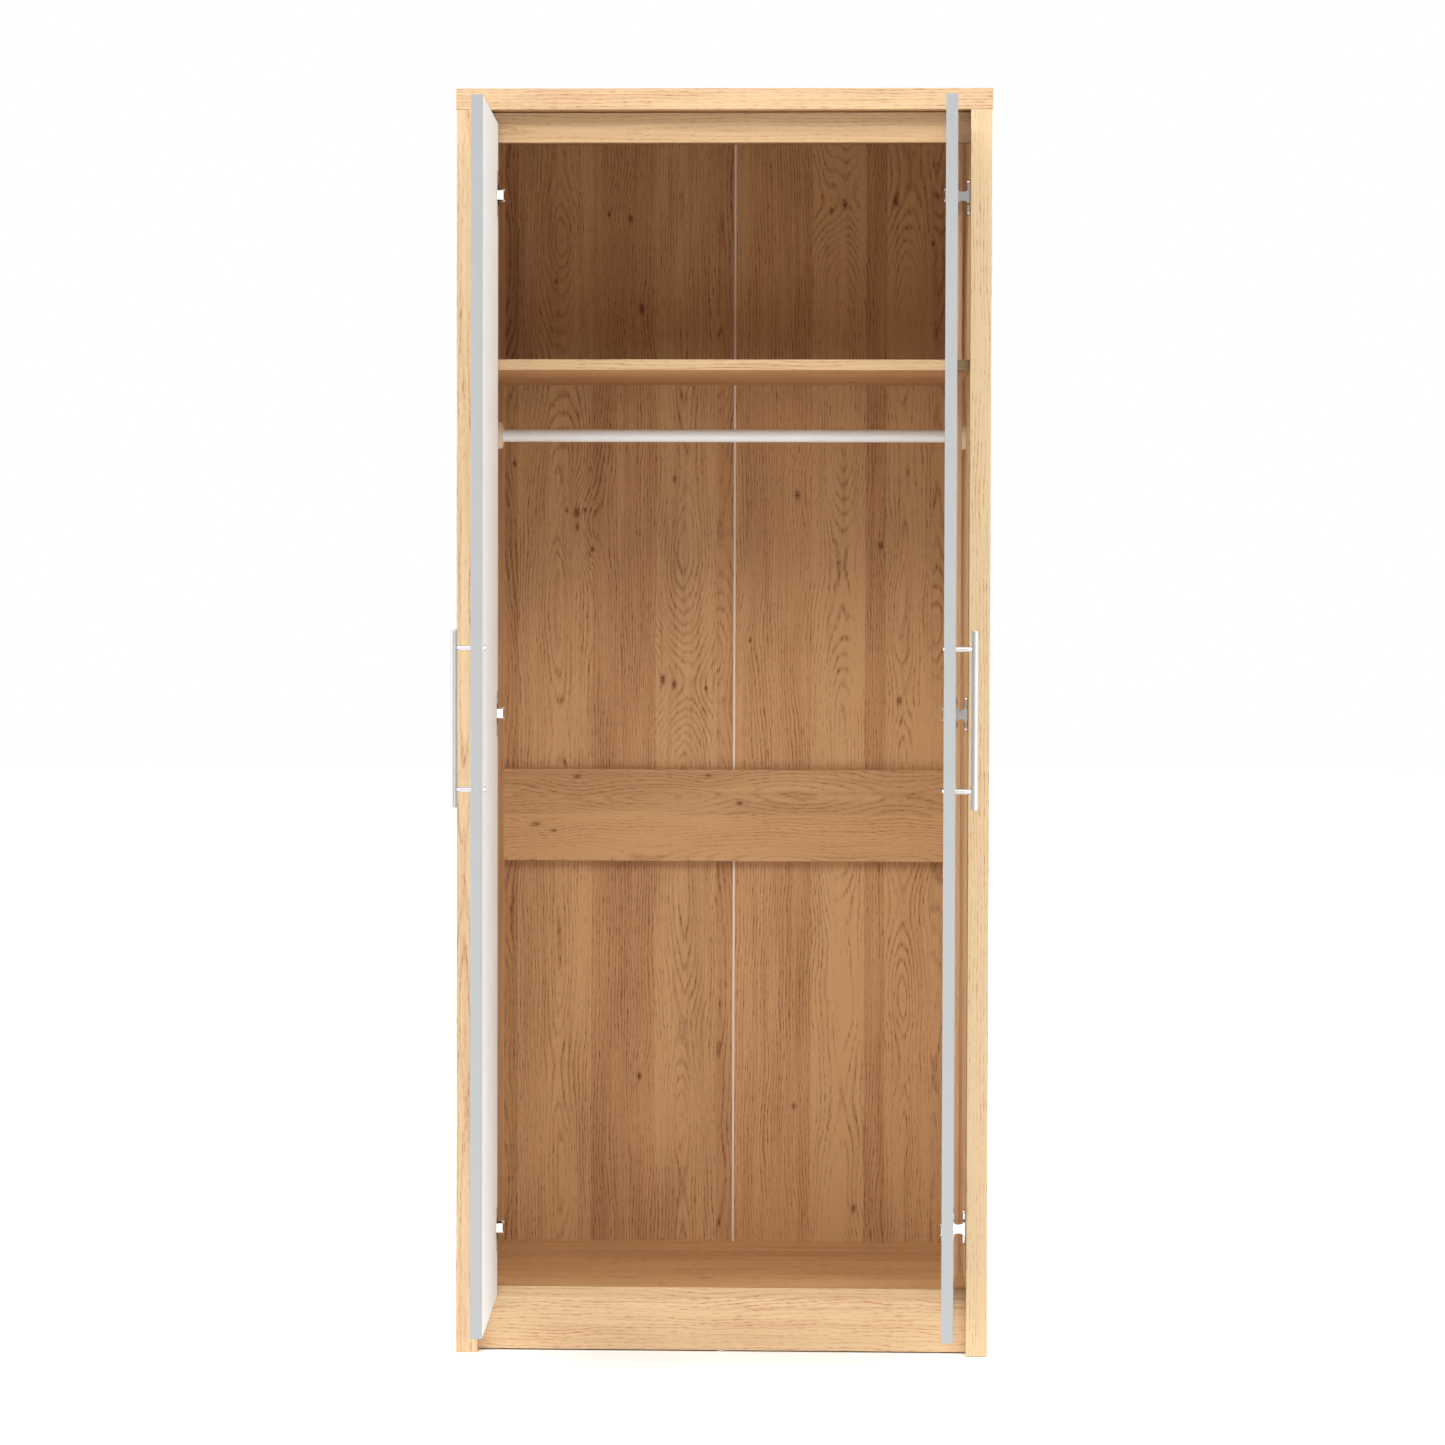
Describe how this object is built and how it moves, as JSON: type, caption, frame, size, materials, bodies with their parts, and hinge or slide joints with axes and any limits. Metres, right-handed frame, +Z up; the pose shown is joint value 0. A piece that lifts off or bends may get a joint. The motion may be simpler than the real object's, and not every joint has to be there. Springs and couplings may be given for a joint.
{
  "type": "wardrobe",
  "caption": "Tall free-standing wardrobe in light oak effect with hinged glossy pale grey doors, bar handles, a top shelf and a hanging rail, shown with its doors open.",
  "frame": {"origin": "on the floor at the centre of the carcase's footprint", "axes": "+X to the right seen from the front, +Y to the back, +Z up"},
  "size_m": [0.76, 0.7947, 1.8],
  "materials": {
    "oak_front": "light oak effect melamine, satin",
    "oak_inside": "light oak effect melamine, satin, horizontal grain",
    "oak_back": "printed oak effect on thin fibreboard, vertical grain",
    "oak_edge": "light oak effect edge banding, satin",
    "door_inside": "white melamine, smooth",
    "door_gloss": "light grey high gloss facing",
    "door_edge": "light grey edge banding",
    "joint_profile": "white plastic",
    "glide": "white plastic",
    "rail_tube": "smooth, coated",
    "socket": "beige plastic",
    "nickel": "nickel plated",
    "zinc": "zinc plated",
    "cap": "wood coloured plastic",
    "handle": "satin nickel",
    "beech": "raw beech"
  },
  "bodies": {
    "carcase": {"side_panel_left": "oak_front", "side_panel_right": "oak_front", "top_panel": "oak_front", "top_rail": "oak_edge", "bottom_panel": "oak_inside", "plinth_front": "oak_front", "plinth_rear": "oak_front", "plinth_glides": "glide", "shelf": "oak_inside", "shelf_pins": "zinc", "back_panel_left": "oak_back", "back_panel_right": "oak_back", "back_joint_strip": "joint_profile", "back_batten": "oak_inside", "back_nails": "zinc", "hanging_rail": "rail_tube", "rail_socket_left": "socket", "rail_socket_right": "socket", "rail_socket_screws": "zinc", "cam_discs": "zinc", "cam_bolts": "zinc", "cam_caps": "cap", "dowels": "beech", "hinge_plates_left": "nickel", "hinge_plates_right": "nickel", "hinge_arms_left": "nickel", "hinge_arms_right": "nickel", "hinge_plate_screws": "nickel", "hinge_arm_screws": "nickel"},
    "door_left": {"door_board_left": "door_inside", "door_facing_left": "door_gloss", "door_edging_left": "door_edge", "hinge_cups_left": "nickel", "hinge_pins_left": "zinc", "cup_screws_left": "nickel", "handle_bar_left": "handle", "handle_posts_left": "handle", "handle_screws_left": "zinc"},
    "door_right": {"door_board_right": "door_inside", "door_facing_right": "door_gloss", "door_edging_right": "door_edge", "hinge_cups_right": "nickel", "hinge_pins_right": "zinc", "cup_screws_right": "nickel", "handle_bar_right": "handle", "handle_posts_right": "handle", "handle_screws_right": "zinc"}
  },
  "joints": [
    {"name": "door_left_hinge", "type": "hinge", "parent": "carcase", "child": "door_left", "pos_m": [-0.3316, -0.2291, 0.914], "axis": [0, 0, 1], "range_deg": [-16.6, 88.4]},
    {"name": "door_right_hinge", "type": "hinge", "parent": "carcase", "child": "door_right", "pos_m": [0.3316, -0.2291, 0.914], "axis": [0, 0, -1], "range_deg": [-17.5, 87.5]}
  ]
}
